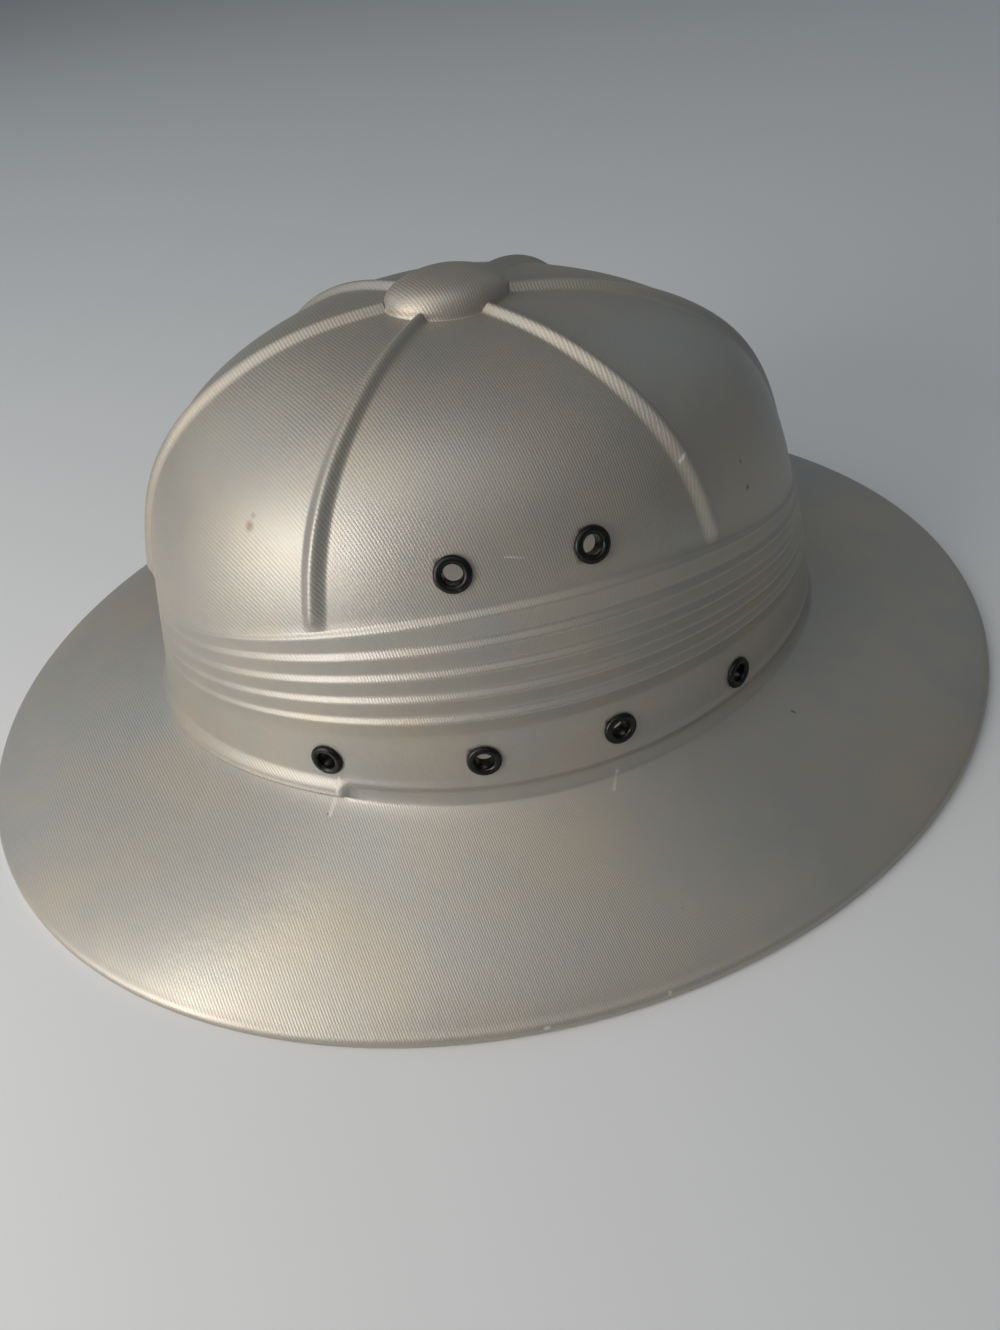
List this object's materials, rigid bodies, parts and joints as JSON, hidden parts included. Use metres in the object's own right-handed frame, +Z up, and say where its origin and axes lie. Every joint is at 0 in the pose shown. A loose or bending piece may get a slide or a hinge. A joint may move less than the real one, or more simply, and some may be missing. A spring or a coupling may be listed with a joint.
{
  "type": "pith helmet",
  "caption": "Pressed one-piece sun helmet with a ribbed crown, a top button, a moulded pleated band, a turned-down brim and black air eyelets.",
  "frame": {"origin": "middle of the brim's outline, on the plane that the rim rests on", "axes": "+Z up, -Y towards the front of the helmet, +X towards the wearer's right"},
  "size_m": [0.276, 0.34, 0.1334],
  "materials": {
    "shell": "satin silver grey with a fine embossed twill",
    "eyelet": "gloss black enamel"
  },
  "bodies": {
    "root": {"shell": "shell", "eyelet_upper_right_1": "eyelet", "eyelet_upper_right_2": "eyelet", "eyelet_upper_left_1": "eyelet", "eyelet_upper_left_2": "eyelet", "eyelet_lower_right_1": "eyelet", "eyelet_lower_right_2": "eyelet", "eyelet_lower_right_3": "eyelet", "eyelet_lower_right_4": "eyelet", "eyelet_lower_left_1": "eyelet", "eyelet_lower_left_2": "eyelet", "eyelet_lower_left_3": "eyelet", "eyelet_lower_left_4": "eyelet"}
  },
  "joints": []
}
